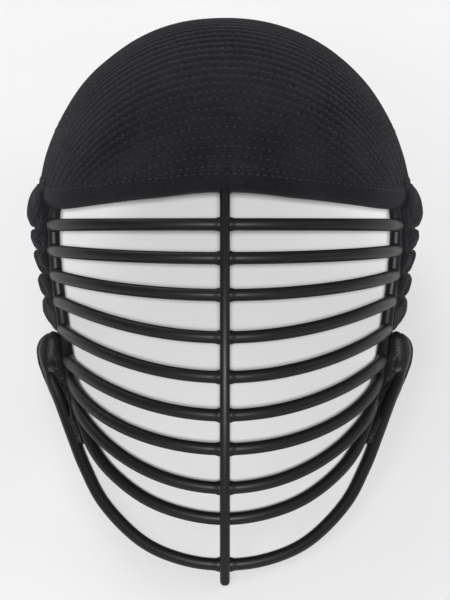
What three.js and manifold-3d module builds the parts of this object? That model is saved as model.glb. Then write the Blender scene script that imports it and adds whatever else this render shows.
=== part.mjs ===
// A fencing mask with a bar grille: a padded dome for the head, a face frame that carries eight cross bars
// and one upright centre bar, a rim round the chin, quilted ear pads and a pair of jaw pads.
// Millimetres, +Z up. The shapes are worked out as the mask is worn: X to the wearer's left, Y to the back,
// Z up from the foot of the centre bar. The finished mask then leans back the way it rests on a table:
// on the foot of the centre bar, the heels of the ear pads and the back of the dome's hem.
import * as THREE from "three";
import { mergeVertices } from "three/addons/utils/BufferGeometryUtils.js";
import Module from "manifold-3d";

const wasm = await Module();
wasm.setup();

// Sizes that everything else follows from
const MASK_HEIGHT = 320;
const LEAN = THREE.MathUtils.degToRad(47.3);
const GAP = 0.3;
const MERGE_WITHIN = 1e-4;
const SAMPLES_PER_ROW = 12;

// The dome: a rounded shell, closed at the top and open below its hem
const DOME = { halfWidth: 106, halfDepth: 118, middleY: -8, widestZ: 205, fullness: 2.08, wall: 12 };
const DOME_STEPS = { around: 40, down: 12, edge: 4, up: 7 };

// The hem's lowest height, by the angle round the dome from the middle of the brow
const HEM = [
  { degrees: 0, height: 221.5 },
  { degrees: 25, height: 218 },
  { degrees: 45, height: 214.8 },
  { degrees: 62, height: 212.6 },
  { degrees: 72, height: 212.8 },
  { degrees: 95, height: 220.5 },
  { degrees: 130, height: 228.5 },
  { degrees: 180, height: 232 },
];

// Round rod: every bar of the grille but the upright one
const ROD_RADIUS = 3.5;
const ROD_SIDES = 8;
const ROD_CORNER = 1 / Math.cos(Math.PI / ROD_SIDES);

// The centre bar is a flat bar on edge, bowed forward on one arc, in front of the cross bars
const CENTRE_BAR = { width: 5.6, depth: 8, top: 227, bowRadius: 198, bowHeight: 115, bowReach: -151, steps: 12 };
const BAR_EDGE_STEPS = 3;
const FOOT_STEPS = { around: 10, down: 6 };
const BEHIND_CENTRE = 5.5;

// One half of the closed face frame, from the middle of the brow down to the middle of its lowest run
const FACE_FRAME = [
  { x: 0, y: -111.5, z: 228 },
  { x: 34, y: -104.5, z: 227.6 },
  { x: 58, y: -88.5, z: 226.8 },
  { x: 77, y: -65, z: 225.5 },
  { x: 88, y: -49, z: 221.5 },
  { x: 95.3, y: -41, z: 214.5 },
  { x: 96.9, y: -38.3, z: 206 },
  { x: 96.8, y: -37, z: 190 },
  { x: 95.2, y: -36, z: 172 },
  { x: 92.7, y: -37, z: 154 },
  { x: 90, y: -41.5, z: 135 },
  { x: 86.3, y: -54.5, z: 115 },
  { x: 80.2, y: -77, z: 90 },
  { x: 67.8, y: -98.5, z: 67.6 },
  { x: 45.2, y: -116.5, z: 48.9 },
  { x: 22.6, y: -125.6, z: 40.2 },
  { x: 0, y: -128.6, z: 37.3 },
];
const FRAME_STEPS = 76;
const FRAME_SAMPLES = 400;

// Cross bars: height in the middle, how far the ends rise above it, and how late they turn up (1 is a parabola)
const CROSS_BARS = [
  { name: "cross_bar_1", middle: 202.6, rise: 0, bend: 1 },
  { name: "cross_bar_2", middle: 183.6, rise: 4.7, bend: 0.75 },
  { name: "cross_bar_3", middle: 162.9, rise: 11.3, bend: 0.83 },
  { name: "cross_bar_4", middle: 139.2, rise: 20.3, bend: 0.95 },
  { name: "cross_bar_5", middle: 116.9, rise: 26, bend: 0.9 },
  { name: "cross_bar_6", middle: 95.5, rise: 30.5, bend: 0.84 },
  { name: "cross_bar_7", middle: 76.5, rise: 39.5, bend: 0.64 },
  { name: "cross_bar_8", middle: 54.7, rise: 48, bend: 0.72 },
];
const CROSS_BAR_STEPS = 18;

// One half of the chin rim, from the middle up to its end beside the face frame
const CHIN_RIM = [
  { x: 0, y: -116.2, z: 11.4 },
  { x: 22.6, y: -114, z: 14.1 },
  { x: 45.2, y: -107.3, z: 23.5 },
  { x: 67.8, y: -95.2, z: 45.4 },
  { x: 79.1, y: -84.6, z: 66.4 },
  { x: 85.9, y: -75, z: 83.5 },
  { x: 93.5, y: -59.5, z: 103.8 },
  { x: 97.7, y: -47.5, z: 114 },
  { x: 98.9, y: -41.5, z: 124 },
  { x: 98.2, y: -39.5, z: 136.5 },
];
const CHIN_RIM_STEPS = 36;

// Ear pad: five stuffed channels that run front to back, each from its seam down to the next one.
// seam is the half width of the mask at the channel's upper seam, and crest says how far down it is fullest.
const EAR_CHANNELS = [
  { top: 226.3, seam: 104.4, bulge: 4.9, crest: 0.55 },
  { top: 201, seam: 107.2, bulge: 2.8, crest: 0.3 },
  { top: 188.8, seam: 105.6, bulge: 2.5, crest: 0.3 },
  { top: 175.5, seam: 103.2, bulge: 2.4, crest: 0.35 },
  { top: 162.5, seam: 101.8, bulge: 3.9, crest: 0.35 },
];
const EAR_PAD = { bottom: 142.6, bottomSeam: 94.8, thin: 5, insideFrame: 1.6, back: 35, heelRadius: 25, steps: 4 };
const EAR_FRAME_TOP = 205;
const CHANNEL_ROUNDNESS = 0.75;
const EAR_BEND_RADIUS = 147;

// Jaw pad: level sections of a stuffed roll behind the frame and the rim, from its round top to its tip
const JAW_PAD = [
  { z: 141, inner: 95, outer: 98.6, front: -30, back: -20 },
  { z: 139.6, inner: 92.6, outer: 101.6, front: -37, back: -13 },
  { z: 136.5, inner: 90.6, outer: 104.8, front: -41, back: -9 },
  { z: 131, inner: 88.6, outer: 106.2, front: -44, back: -7 },
  { z: 125.5, inner: 87.2, outer: 105.2, front: -46, back: -7 },
  { z: 119.5, inner: 85.4, outer: 103, front: -49, back: -10 },
  { z: 113, inner: 83.8, outer: 100.4, front: -53, back: -16 },
  { z: 104, inner: 81.4, outer: 95.2, front: -62, back: -28 },
  { z: 94, inner: 78.8, outer: 90.8, front: -73, back: -43 },
  { z: 85.5, inner: 77.4, outer: 86.8, front: -82, back: -58 },
  { z: 80, inner: 78.6, outer: 83.6, front: -84, back: -68 },
];
const PAD_SIDES = 14;
const PAD_ROUNDNESS = 0.7;
const FLOOR_BLOCK = { size: 600, height: 80 };

// A closed solid from a geometry, and the way back
function solidOf(geometry) {
  const bare = geometry.clone();
  bare.deleteAttribute("normal");
  bare.deleteAttribute("uv");
  const merged = mergeVertices(bare, MERGE_WITHIN);
  const corners = merged.index.array;
  const kept = [];
  for (let i = 0; i < corners.length; i += 3) {
    const [a, b, c] = corners.subarray(i, i + 3);
    if (a !== b && b !== c && a !== c) kept.push(a, b, c);
  }
  const mesh = new wasm.Mesh({
    numProp: 3,
    vertProperties: merged.attributes.position.array,
    triVerts: Uint32Array.from(kept),
  });
  return new wasm.Manifold(mesh);
}

function geometryOf(solid) {
  const { vertProperties, triVerts } = solid.getMesh();
  const geometry = new THREE.BufferGeometry();
  geometry.setAttribute("position", new THREE.BufferAttribute(vertProperties, 3));
  geometry.setIndex(new THREE.BufferAttribute(triVerts, 1));
  geometry.computeVertexNormals();
  return geometry;
}

// Puts a point where each vertex of a lathe is; place(turn, row) gives it, with turn from 0 to 1 round the axis
function shapedLathe(rowCount, around, place) {
  const profile = Array.from({ length: rowCount }, (_, row) => {
    const onAxis = row === 0 || row === rowCount - 1;
    return new THREE.Vector2(onAxis ? 0 : 1, rowCount - row);
  });
  const geometry = new THREE.LatheGeometry(profile, around);
  const position = geometry.getAttribute("position");
  for (let i = 0; i < position.count; i++) {
    const column = Math.floor(i / rowCount) % around;
    position.setXYZ(i, ...place(1 - column / around, i % rowCount));
  }
  return geometry;
}

// Value of a table's column at a key, on a smooth curve through the rows
function smoothColumn(rows, keyName, valueName) {
  const curve = new THREE.SplineCurve(rows.map((row) => new THREE.Vector2(row[keyName], row[valueName])));
  const samples = curve.getPoints(rows.length * SAMPLES_PER_ROW);
  return (key) => {
    const next = samples.findIndex((p) => p.x >= key);
    if (next < 0) return samples[samples.length - 1].y;
    if (next === 0) return samples[0].y;
    const before = samples[next - 1];
    const after = samples[next];
    return before.y + ((after.y - before.y) * (key - before.x)) / (after.x - before.x);
  };
}

// The rows of one half, mirrored, as a smooth curve
function mirroredCurve(half, closed) {
  const far = half.map(({ x, y, z }) => new THREE.Vector3(-x, y, z)).reverse();
  const near = half.map(({ x, y, z }) => new THREE.Vector3(x, y, z));
  const points = closed ? [...near, ...far.slice(1, -1)] : [...far.slice(0, -1), ...near];
  return new THREE.CatmullRomCurve3(points, closed, "centripetal");
}

function circle(radius) {
  const shape = new THREE.Shape();
  for (let side = 0; side < ROD_SIDES; side++) {
    const turn = ((side + 0.5) / ROD_SIDES) * 2 * Math.PI;
    const corner = [radius * ROD_CORNER * Math.cos(turn), radius * ROD_CORNER * Math.sin(turn)];
    if (side === 0) shape.moveTo(...corner);
    else shape.lineTo(...corner);
  }
  return shape;
}

function rod(path, steps, radius) {
  return new THREE.ExtrudeGeometry(circle(radius), { steps, extrudePath: path });
}

// The dome, grown on every side by an allowance when it cuts its own seat out of a neighbour
const hemHeight = smoothColumn(HEM, "degrees", "height");

function domePoint(phi, height, depth) {
  const { halfWidth, halfDepth, middleY, widestZ, fullness } = DOME;
  const rise = MASK_HEIGHT - widestZ - depth;
  const share = Math.min(1, Math.abs(height - widestZ) / rise);
  const spread = (1 - share ** fullness) ** (1 / fullness);
  return [
    (halfWidth - depth) * spread * Math.sin(phi),
    middleY - (halfDepth - depth) * spread * Math.cos(phi),
    height,
  ];
}

function domeGeometry(grow) {
  const wall = DOME.wall + 2 * grow;
  const rows = [];
  for (let i = 0; i <= DOME_STEPS.down; i++) rows.push({ fall: i / DOME_STEPS.down, across: 0 });
  for (let i = 1; i < DOME_STEPS.edge; i++) rows.push({ fall: 1, across: i / DOME_STEPS.edge });
  for (let i = DOME_STEPS.up; i >= 0; i--) rows.push({ fall: i / DOME_STEPS.up, across: 1 });
  return shapedLathe(rows.length, DOME_STEPS.around, (turn, row) => {
    const { fall, across } = rows[row];
    const phi = turn * 2 * Math.PI;
    const degrees = THREE.MathUtils.radToDeg(Math.min(phi, 2 * Math.PI - phi));
    const depth = -grow + wall * (1 - Math.cos(across * Math.PI)) / 2;
    const hemTop = hemHeight(degrees) - grow + wall / 2;
    const top = MASK_HEIGHT - depth;
    const quarter = Math.acos((hemTop - DOME.widestZ) / (top - DOME.widestZ));
    const height = DOME.widestZ + (top - DOME.widestZ) * Math.cos(fall * quarter);
    return domePoint(phi, height - (wall / 2) * Math.sin(across * Math.PI), depth);
  });
}

// The centre bar: its arc seen from the side, and the bar itself with a rounded foot
function centreBarY(height) {
  const { bowRadius, bowHeight, bowReach } = CENTRE_BAR;
  return bowReach + bowRadius - Math.sqrt(bowRadius ** 2 - (height - bowHeight) ** 2);
}

function centreBarSolid(grow) {
  const { steps } = CENTRE_BAR;
  const width = CENTRE_BAR.width + 2 * grow;
  const depth = CENTRE_BAR.depth + 2 * grow;
  const rise = CENTRE_BAR.top + grow - width / 2;
  const heights = Array.from({ length: steps + 1 }, (_, i) => width / 2 + (rise * i) / steps);
  const path = new THREE.CatmullRomCurve3(heights.map((z) => new THREE.Vector3(0, centreBarY(z), z)));
  const section = new THREE.Shape();
  const corner = width / 2;
  const flat = depth / 2 - corner;
  section.absarc(0, flat, corner, 0, Math.PI, false);
  section.absarc(0, -flat, corner, Math.PI, 2 * Math.PI, false);
  const bar = new THREE.ExtrudeGeometry(section, { steps, curveSegments: BAR_EDGE_STEPS, extrudePath: path });
  const foot = new THREE.SphereGeometry(1, FOOT_STEPS.around, FOOT_STEPS.down);
  foot.scale(width / 2, depth / 2, width / 2);
  foot.translate(0, centreBarY(width / 2), width / 2);
  return solidOf(bar).add(solidOf(foot));
}

// The face frame, and where it is at a height on its upright sides
const frameCurve = mirroredCurve(FACE_FRAME, true);
const frameSide = frameCurve.getPoints(FRAME_SAMPLES).slice(0, FRAME_SAMPLES / 2).filter((p) => p.x > 0);

function frameAt(height) {
  const below = frameSide.findIndex((p) => p.z <= height);
  const [above, under] = [frameSide[below - 1], frameSide[below]];
  return above.clone().lerp(under, (above.z - height) / (above.z - under.z));
}

function frameGeometry(grow) {
  return new THREE.TubeGeometry(frameCurve, FRAME_STEPS, (ROD_RADIUS + grow) * ROD_CORNER, ROD_SIDES, true);
}

// A cross bar is half an ellipse seen from above, and its ends rise to the frame
function crossBarPath({ middle, rise, bend }) {
  const end = frameAt(middle + rise);
  const front = centreBarY(middle) + BEHIND_CENTRE;
  const points = [];
  for (let i = 0; i <= CROSS_BAR_STEPS; i++) {
    const turn = (i / CROSS_BAR_STEPS - 0.5) * Math.PI;
    const forward = Math.abs(Math.cos(turn));
    const height = middle + rise * (1 - forward ** (2 * bend));
    points.push(new THREE.Vector3(end.x * Math.sin(turn), end.y + (front - end.y) * forward, height));
  }
  return new THREE.CatmullRomCurve3(points);
}

// Outer face of the ear pad at a height: seam to seam, with a bulge between
function earOuter(height) {
  const next = EAR_CHANNELS.findIndex((channel) => channel.top < height);
  const index = (next < 0 ? EAR_CHANNELS.length : Math.max(next, 1)) - 1;
  const channel = EAR_CHANNELS[index];
  const below = EAR_CHANNELS[index + 1] ?? { top: EAR_PAD.bottom, seam: EAR_PAD.bottomSeam };
  const down = THREE.MathUtils.clamp((channel.top - height) / (channel.top - below.top), 0, 1);
  const late = Math.log(0.5) / Math.log(channel.crest);
  const bulge = channel.bulge * Math.sin(Math.PI * down ** late) ** CHANNEL_ROUNDNESS;
  return THREE.MathUtils.lerp(channel.seam, below.seam, down) + bulge;
}

// A level section with rounded ends, as a closed lathe row: turn runs round it
function padSection(turn, { inner, outer, front, back, z }) {
  const angle = turn * 2 * Math.PI;
  const squared = (v) => Math.sign(v) * Math.abs(v) ** PAD_ROUNDNESS;
  const x = (inner + outer) / 2 + ((outer - inner) / 2) * squared(Math.sin(angle));
  const y = (front + back) / 2 - ((back - front) / 2) * squared(Math.cos(angle));
  return { x, y, z };
}

function earPadSections() {
  const { bottom, insideFrame, back, heelRadius, steps, thin } = EAR_PAD;
  const sections = [];
  EAR_CHANNELS.forEach(({ top }, index) => {
    const end = EAR_CHANNELS[index + 1]?.top ?? bottom;
    for (let i = 0; i < steps; i++) sections.push(top + ((end - top) * i) / steps);
  });
  sections.push(bottom);
  return sections.map((z) => {
    const frame = frameAt(Math.min(z, EAR_FRAME_TOP));
    const outer = earOuter(z);
    const inner = Math.min(frame.x - insideFrame, outer - thin);
    const low = Math.max(0, bottom + heelRadius - z);
    const heel = heelRadius - Math.sqrt(heelRadius ** 2 - low ** 2);
    return { inner, outer, front: frame.y, back: back - heel, z };
  });
}

// Stacks level sections into a closed pad; curved follows the dome's own bend front to back
function padGeometry(sections, curved) {
  const rows = sections.length + 2;
  return shapedLathe(rows, PAD_SIDES, (turn, row) => {
    const section = sections[THREE.MathUtils.clamp(row - 1, 0, sections.length - 1)];
    if (row === 0 || row === rows - 1) {
      return [(section.inner + section.outer) / 2, (section.front + section.back) / 2, section.z];
    }
    const { x, y, z } = padSection(turn, section);
    const bend = curved ? Math.sqrt(1 - ((y - DOME.middleY) / EAR_BEND_RADIUS) ** 2) : 1;
    return [x * bend, y, z];
  });
}

// Lowest reach of a geometry in a direction
function reach(geometry, direction) {
  const position = geometry.getAttribute("position");
  const point = new THREE.Vector3();
  let most = -Infinity;
  for (let i = 0; i < position.count; i++) {
    point.fromBufferAttribute(position, i);
    most = Math.max(most, point.dot(direction));
  }
  return most;
}

// Everything below the plane that the leaning mask rests on
function floorBlock(depthAlongDown) {
  const block = new THREE.BoxGeometry(FLOOR_BLOCK.size, FLOOR_BLOCK.size, FLOOR_BLOCK.height);
  block.translate(0, 0, -FLOOR_BLOCK.height / 2 - depthAlongDown);
  block.rotateX(LEAN);
  return solidOf(block);
}

const metal = { color: 0x0c0c0d, roughness: 0.32, metalness: 0.6 };
const MATERIALS = {
  cloth: new THREE.MeshStandardMaterial({ color: 0x0b0b0d, roughness: 0.85, metalness: 0 }),
  leather: new THREE.MeshStandardMaterial({ color: 0x0a0a0a, roughness: 0.55, metalness: 0 }),
  rod: new THREE.MeshStandardMaterial(metal),
};

const mask = new THREE.Group();

function place(name, geometry, material, mirrored = false) {
  const mesh = new THREE.Mesh(geometry, material);
  mesh.name = name;
  if (mirrored) mesh.scale.x = -1;
  mask.add(mesh);
}

const frameCutter = solidOf(frameGeometry(GAP));
const chinPath = mirroredCurve(CHIN_RIM, false);
const chinCutter = solidOf(rod(chinPath, CHIN_RIM_STEPS, ROD_RADIUS + GAP));

// The grille: frame, cross bars coped to the frame, chin rim, and the centre bar notched over all of them
place("face_frame", frameGeometry(0), MATERIALS.rod);
let centreBar = centreBarSolid(0).subtract(frameCutter).subtract(chinCutter);
for (const bar of CROSS_BARS) {
  const path = crossBarPath(bar);
  const solid = solidOf(rod(path, CROSS_BAR_STEPS, ROD_RADIUS)).subtract(frameCutter);
  place(bar.name, geometryOf(solid), MATERIALS.rod);
  centreBar = centreBar.subtract(solidOf(rod(path, CROSS_BAR_STEPS, ROD_RADIUS + GAP)));
}
place("chin_rim", rod(chinPath, CHIN_RIM_STEPS, ROD_RADIUS), MATERIALS.rod);
const centreBarGeometry = geometryOf(centreBar);
place("centre_bar", centreBarGeometry, MATERIALS.rod);

// Soft parts give way to the rods they are laced to and are pressed flat where they rest
const down = new THREE.Vector3(0, Math.sin(LEAN), -Math.cos(LEAN));
const restDepth = reach(centreBarGeometry, down);
const floor = floorBlock(restDepth);
const dome = solidOf(domeGeometry(0)).subtract(frameCutter).subtract(centreBarSolid(GAP)).subtract(floor);
place("dome", geometryOf(dome), MATERIALS.cloth);

const domeCutter = solidOf(domeGeometry(GAP));
const earPad = solidOf(padGeometry(earPadSections(), true));
const earPadFitted = geometryOf(earPad.subtract(domeCutter).subtract(frameCutter).subtract(floor));
place("ear_pad_left", earPadFitted, MATERIALS.cloth);
place("ear_pad_right", earPadFitted, MATERIALS.cloth, true);

const jawPad = solidOf(padGeometry(JAW_PAD, false));
const jawPadFitted = geometryOf(jawPad.subtract(frameCutter).subtract(chinCutter));
place("jaw_pad_left", jawPadFitted, MATERIALS.leather);
place("jaw_pad_right", jawPadFitted, MATERIALS.leather, true);

// Lean the mask back, then set it on the floor with the middle of its box over the origin
mask.rotation.x = -LEAN;
const fencingMask = new THREE.Group();
fencingMask.add(mask);
const box = new THREE.Box3().setFromObject(fencingMask, true);
const middle = box.getCenter(new THREE.Vector3());
mask.position.set(-middle.x, -middle.y, restDepth);

export default fencingMask;
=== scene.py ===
"""The looks of a fencing mask with a bar grille: cloth, leather, lacquered bars, floor, light and camera.

The shapes are worked out in millimetres as the mask is worn: X to the side, Y to the back, Z up from the foot
of the centre bar. to_row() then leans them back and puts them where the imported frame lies.
"""
from math import cos, log, pi, radians, sin, sqrt, tau
from types import SimpleNamespace as Sizes

import bmesh
import bpy
import numpy as np
from mathutils import Matrix, Vector, noise
from mathutils.bvhtree import BVHTree
from numpy.linalg import norm


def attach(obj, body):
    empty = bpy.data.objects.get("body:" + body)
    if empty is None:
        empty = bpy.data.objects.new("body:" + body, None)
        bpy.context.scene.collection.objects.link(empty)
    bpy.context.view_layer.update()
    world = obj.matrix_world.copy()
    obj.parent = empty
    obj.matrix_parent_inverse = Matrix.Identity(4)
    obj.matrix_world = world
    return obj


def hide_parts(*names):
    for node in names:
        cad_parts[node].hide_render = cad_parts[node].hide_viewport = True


MM = 0.001
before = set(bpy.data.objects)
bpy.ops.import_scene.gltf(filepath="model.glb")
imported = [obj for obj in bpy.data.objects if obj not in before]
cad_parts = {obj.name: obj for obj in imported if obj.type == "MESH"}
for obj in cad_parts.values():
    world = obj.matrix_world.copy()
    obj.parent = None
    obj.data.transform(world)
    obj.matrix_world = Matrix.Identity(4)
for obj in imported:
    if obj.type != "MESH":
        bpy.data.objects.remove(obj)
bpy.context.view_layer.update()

# Sizes of the real thing, in millimetres
LEAN = radians(47.3)
MASK_HEIGHT = 320.0
BAR_FRONT = -155.0
GAP = 0.4
ROD_RADIUS = 3.5
DOME = Sizes(half_width=106.0, half_depth=118.0, middle_y=-8.0, widest_z=205.0, fullness=2.08,
             wall=12.0)
# Bearing in degrees, from the front round to the back, and height of the dome's lowest edge there
HEM = [(0, 221.5), (25, 218), (45, 214.8), (62, 212.6), (72, 212.8), (95, 220.5), (130, 228.5), (180, 232)]
FACE_FRAME = [
    (0, -111.5, 228), (34, -104.5, 227.6), (58, -88.5, 226.8), (77, -65, 225.5), (88, -49, 221.5),
    (95.3, -41, 214.5), (96.9, -38.3, 206), (96.8, -37, 190), (95.2, -36, 172), (92.7, -37, 154),
    (90, -41.5, 135), (86.3, -54.5, 115), (80.2, -77, 90), (67.8, -98.5, 67.6), (45.2, -116.5, 48.9),
    (22.6, -125.6, 40.2), (0, -128.6, 37.3),
]
CHIN_RIM = [
    (0, -116.2, 11.4), (22.6, -114, 14.1), (45.2, -107.3, 23.5), (67.8, -95.2, 45.4), (79.1, -84.6, 66.4),
    (85.9, -75, 83.5), (93.5, -59.5, 103.8), (97.7, -47.5, 114), (98.9, -41.5, 124), (98.2, -39.5, 136.5),
]
# Middle height, rise of the ends, and how late the ends turn up
CROSS_BARS = [
    (202.6, 0, 1), (183.6, 4.7, 0.75), (162.9, 11.3, 0.83), (139.2, 20.3, 0.95),
    (116.9, 26, 0.9), (95.5, 30.5, 0.84), (76.5, 39.5, 0.64), (54.7, 48, 0.72),
]
CENTRE_BAR = Sizes(width=5.6, depth=8.0, top=227.0, bow_radius=198.0, bow_height=115.0,
                   bow_reach=-151.0)
BEHIND_CENTRE = 5.5
# Top of each channel, half width of the mask at its seam, bulge, and how far down it is fullest
EAR_CHANNELS = [
    (226.3, 104.4, 4.9, 0.55), (201, 107.2, 2.8, 0.3), (188.8, 105.6, 2.5, 0.3),
    (175.5, 103.2, 2.4, 0.35), (162.5, 101.8, 3.9, 0.35),
]
EAR_PAD = Sizes(bottom=142.6, bottom_seam=94.8, thin=5.0, inside_frame=1.6, back=35.0,
                heel_radius=25.0)
EAR_BEND_RADIUS = 147.0
EAR_FRAME_TOP = 205.0
# Level sections of the jaw pad: height, inner and outer half width, front and back
JAW_PAD = [
    (141, 95, 98.6, -30, -20), (139.6, 92.6, 101.6, -37, -13), (136.5, 90.6, 104.8, -41, -9),
    (131, 88.6, 106.2, -44, -7), (125.5, 87.2, 105.2, -46, -7), (119.5, 85.4, 103, -49, -10),
    (113, 83.8, 100.4, -53, -16), (104, 81.4, 95.2, -62, -28), (94, 78.8, 90.8, -73, -43),
    (85.5, 77.4, 86.8, -82, -58), (80, 78.6, 83.6, -84, -68),
]
PAD_ROUNDNESS = 0.7


# The worn frame and the row's frame

def lean_matrix(angle):
    c, s = cos(angle), sin(angle)
    return np.array([[1, 0, 0], [0, c, -s], [0, s, c]])


def node_points(node):
    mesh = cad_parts[node].data
    points = np.empty(len(mesh.vertices) * 3)
    mesh.vertices.foreach_get("co", points)
    return points.reshape(-1, 3)


def worn_origin():
    """Where the worn frame's origin lies in the row, from the dome's top and the front of the centre bar."""
    dome, bar = (node_points(node) @ lean_matrix(LEAN).T for node in ("dome", "centre_bar"))
    upright = np.array([0.0, bar[:, 1].min() - BAR_FRONT * MM, dome[:, 2].max() - MASK_HEIGHT * MM])
    return upright @ lean_matrix(-LEAN).T


ORIGIN = worn_origin()


def to_row(points):
    return np.asarray(points, float) @ lean_matrix(-LEAN).T * MM + ORIGIN


def flattened(points):
    """Row points pressed flat where they would go below the floor."""
    pressed = points.copy()
    pressed[:, 2] = np.maximum(pressed[:, 2], 0.0)
    return pressed


# Curves

def smooth_line(points, closed=False, per_span=24):
    """A centripetal Catmull-Rom curve through the points."""
    p = np.asarray(points, float)
    if closed:
        p = np.vstack([p[-1], p, p[0], p[1]])
    else:
        p = np.vstack([2 * p[0] - p[1], p, 2 * p[-1] - p[-2]])
    steps = norm(np.diff(p, axis=0), axis=1) ** 0.5
    t = np.arange(per_span)[:, None] / per_span
    line = []
    for i in range(1, len(p) - 2):
        d0, d1, d2 = steps[i - 1], steps[i], steps[i + 1]
        a = ((p[i] - p[i - 1]) / d0 - (p[i + 1] - p[i - 1]) / (d0 + d1) + (p[i + 1] - p[i]) / d1) * d1
        b = ((p[i + 1] - p[i]) / d1 - (p[i + 2] - p[i]) / (d1 + d2) + (p[i + 2] - p[i + 1]) / d2) * d1
        c2 = -3 * p[i] + 3 * p[i + 1] - 2 * a - b
        c3 = 2 * p[i] - 2 * p[i + 1] + a + b
        line.append(p[i] + a * t + c2 * t ** 2 + c3 * t ** 3)
    if not closed:
        line.append(p[-2][None])
    return np.vstack(line)


def lengths_along(line):
    """Each point's distance from the line's start, measured along it."""
    return np.concatenate([[0], np.cumsum(norm(np.diff(line, axis=0), axis=1))])


def values_at(values, along, at):
    """Points or normals, one for each length in along, worked out for other lengths."""
    return np.stack([np.interp(at, along, values[:, k]) for k in range(values.shape[1])], 1)


def even_line(line, spacing, closed=False):
    """The same line with evenly spaced points, about spacing apart."""
    full = np.vstack([line, line[:1]]) if closed else line
    along = lengths_along(full)
    at = np.linspace(0, along[-1], max(3, int(round(along[-1] / spacing))) + 1)
    return values_at(full, along, at[:-1] if closed else at)


def unit(vectors):
    length = norm(vectors, axis=-1, keepdims=True)
    return vectors / np.maximum(length, 1e-12)


def superellipse(turn, power):
    s, c = np.sin(turn), np.cos(turn)
    return np.sign(s) * np.abs(s) ** power, np.sign(c) * np.abs(c) ** power


def mirrored_half(half, closed):
    near = [tuple(map(float, p)) for p in half]
    far = [(-x, y, z) for x, y, z in reversed(near)]
    return near + far[1:-1] if closed else far[:-1] + near


FRAME_LINE = smooth_line(mirrored_half(FACE_FRAME, True), closed=True)
FRAME_SIDE = FRAME_LINE[: len(FRAME_LINE) // 2]
RIM_LINE = smooth_line(mirrored_half(CHIN_RIM, False))


def frame_at(height):
    below = int(np.argmax(FRAME_SIDE[:, 2] <= height))
    above, under = FRAME_SIDE[below - 1], FRAME_SIDE[below]
    return above + (under - above) * (above[2] - height) / (above[2] - under[2])


def centre_bar_y(height):
    radius, middle = CENTRE_BAR.bow_radius, CENTRE_BAR.bow_height
    return CENTRE_BAR.bow_reach + radius - np.sqrt(radius ** 2 - (height - middle) ** 2)


def centre_bar_line(heights):
    return np.stack([np.zeros_like(heights), centre_bar_y(heights), heights], 1)


def cross_bar_line(middle, rise, bend):
    end = frame_at(middle + rise)
    front = centre_bar_y(middle) + BEHIND_CENTRE
    turn = np.linspace(-0.5, 0.5, 121) * pi
    forward = np.abs(np.cos(turn))
    height = middle + rise * (1 - forward ** (2 * bend))
    return np.stack([end[0] * np.sin(turn), end[1] + (front - end[1]) * forward, height], 1)


# Meshes

def outward(mesh):
    bm = bmesh.new()
    bm.from_mesh(mesh)
    bmesh.ops.remove_doubles(bm, verts=bm.verts, dist=1e-7)
    bmesh.ops.recalc_face_normals(bm, faces=bm.faces)
    bm.to_mesh(mesh)
    bm.free()


def new_piece(name, points, faces, uvs, materials, stands_for=(), material_index=None):
    """A smooth closed piece that rides on the mask; points are in the row's frame, uvs by face corner."""
    mesh = bpy.data.meshes.new(name)
    mesh.from_pydata(points.tolist(), [], faces)
    layer = mesh.uv_layers.new(name="millimetres")
    layer.data.foreach_set("uv", uvs.ravel())
    if material_index is not None:
        mesh.polygons.foreach_set("material_index", material_index.astype(np.int32))
    outward(mesh)
    mesh.polygons.foreach_set("use_smooth", [True] * len(mesh.polygons))
    for material in materials:
        mesh.materials.append(material)
    return dressed(name, mesh, stands_for)


def linked(name, data):
    made = bpy.data.objects.new(name, data)
    bpy.context.scene.collection.objects.link(made)
    return made


def evaluated(thing):
    return thing.evaluated_get(bpy.context.evaluated_depsgraph_get())


def dressed(name, mesh, stands_for=()):
    piece = linked(name, mesh)
    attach(piece, "root")
    if stands_for:
        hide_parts(*stands_for)
    return piece


def mirrored_piece(name, piece, stands_for=()):
    mesh = piece.data.copy()
    mesh.name = name
    mesh.transform(Matrix.Scale(-1, 4, (1, 0, 0)))
    mesh.flip_normals()
    return dressed(name, mesh, stands_for)


def grid_faces(rows, columns):
    """Quads of a grid whose rows are closed, and each corner's place in it as (row, column), unwrapped."""
    r, c = np.meshgrid(np.arange(rows - 1), np.arange(columns), indexing="ij")
    r, c = r.ravel(), c.ravel()
    corner_rows = np.stack([r, r, r + 1, r + 1], 1)
    corner_columns = np.stack([c, c + 1, c + 1, c], 1)
    return corner_rows * columns + corner_columns % columns, corner_rows, corner_columns


def grid_uvs(grid, corner_rows, corner_columns):
    """Lengths along and across the grid, in millimetres."""
    closed = np.concatenate([grid, grid[:, :1]], 1)
    u = np.cumsum(norm(np.diff(closed, axis=1, prepend=closed[:, :1]), axis=2), 1)[len(grid) // 2]
    v = np.cumsum(norm(np.diff(grid, axis=0, prepend=grid[:1]), axis=2), 0).mean(1)
    return np.stack([u[corner_columns], v[corner_rows]], 2)


def grid_piece(name, grid, materials, stands_for=(), row_material=None, place_uvs=None):
    """A grid of worn points as a closed piece; its rows go all the way round.

    place_uvs gives the texture places of all rows but those of the last material.
    """
    faces, corner_rows, corner_columns = grid_faces(*grid.shape[:2])
    uvs = grid_uvs(grid, corner_rows, corner_columns)
    index = None if row_material is None else row_material[corner_rows[:, 0]]
    if place_uvs is not None:
        placed = place_uvs(grid)[corner_rows, corner_columns % grid.shape[1]]
        uvs = np.where((index < len(materials) - 1)[:, None, None], placed, uvs)
    points = flattened(to_row(grid.reshape(-1, 3)))
    return new_piece(name, points, faces.tolist(), uvs, materials, stands_for, index)


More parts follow.
